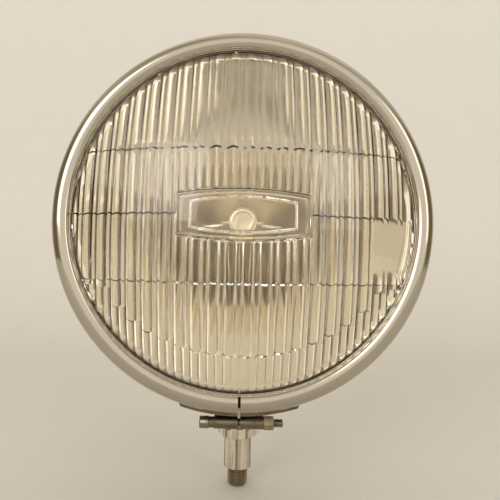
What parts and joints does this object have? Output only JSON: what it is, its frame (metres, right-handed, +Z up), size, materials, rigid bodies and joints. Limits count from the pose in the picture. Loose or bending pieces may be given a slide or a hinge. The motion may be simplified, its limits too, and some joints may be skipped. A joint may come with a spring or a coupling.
{
  "type": "car lamp",
  "caption": "Round auxiliary car lamp: domed fluted glass in a split chrome rim clamped by a screw, steel bowl, and a ball-jointed foot on a threaded stud with locking nuts.",
  "frame": {"origin": "on the mounting stud's axis, at the lower face of the long nut", "axes": "+Z up along the stud, lamp faces -Y, +X to the right seen from the front"},
  "size_m": [0.159, 0.096, 0.2047],
  "materials": {
    "chrome_plate": "polished chrome plate",
    "bright_plate": "bright plated steel, lightly dulled",
    "plated_screw": "plated steel, worn",
    "brass_nut": "dull brass",
    "clear_glass": "clear pressed glass",
    "silvered_glass": "aluminised glass",
    "tungsten": "drawn wire",
    "nickel_wire": "drawn nickel wire",
    "shield_metal": "heat-tinted pressed metal",
    "terminal_brass": "plain brass",
    "black_rubber": "matte",
    "plain_steel": "plain steel",
    "thread_steel": "threaded steel, browned"
  },
  "bodies": {
    "stud": {"swivel_stud": "thread_steel"},
    "saddle": {"outer_saddle": "chrome_plate", "inner_seat": "plain_steel"},
    "lamp": {"clamp_rim": "chrome_plate", "left_lug": "bright_plate", "right_lug": "bright_plate", "bridge_plate": "bright_plate", "screw_collar": "plated_screw", "front_lens": "clear_glass", "reflector": "silvered_glass", "filament": "tungsten", "filament_posts": "nickel_wire", "filament_shield": "shield_metal", "shield_stem": "nickel_wire", "terminal_cups": "bright_plate", "terminal_blades": "terminal_brass", "seal_ring": "black_rubber", "lamp_bowl": "chrome_plate", "cable_grommet": "black_rubber", "mounting_foot": "chrome_plate", "foot_rivets": "plated_screw"},
    "screw": {"clamp_screw": "plated_screw"},
    "nut": {"clamp_nut": "brass_nut"},
    "washer": {"lock_washer": "plain_steel"},
    "thin_nut": {"lock_nut": "bright_plate"},
    "hex_sleeve": {"long_nut": "bright_plate"}
  },
  "joints": [
    {"name": "swivel", "type": "hinge", "parent": "stud", "child": "saddle", "pos_m": [0, 0, 0.03775], "axis": [0, 0, 1], "continuous": true},
    {"name": "tilt", "type": "hinge", "parent": "saddle", "child": "lamp", "pos_m": [0, 0, 0.03775], "axis": [1, 0, 0], "range_deg": [-12, 12]},
    {"name": "clamp_screw_turn", "type": "hinge", "parent": "lamp", "child": "screw", "pos_m": [0, -0.036, 0.03198], "axis": [-1, 0, 0], "range_deg": [0, 1440]},
    {"name": "clamp_nut_travel", "type": "slide", "parent": "lamp", "child": "nut", "axis": [1, 0, 0], "range_m": [0, 0.0028]},
    {"name": "washer_travel", "type": "slide", "parent": "stud", "child": "washer", "axis": [0, 0, -1], "range_m": [0, 0.00317]},
    {"name": "lock_nut_turn", "type": "hinge", "parent": "washer", "child": "thin_nut", "pos_m": [0, 0, 0.01725], "axis": [0, 0, -1], "range_deg": [0, 1080]},
    {"name": "long_nut_turn", "type": "hinge", "parent": "thin_nut", "child": "hex_sleeve", "pos_m": [0, 0, 0.00735], "axis": [0, 0, -1], "continuous": true}
  ],
  "couplings": [
    {"joint": "clamp_screw_turn", "follows": "clamp_nut_travel", "rad_per_m": 8976},
    {"joint": "lock_nut_turn", "follows": "washer_travel", "rad_per_m": 5936.9}
  ]
}
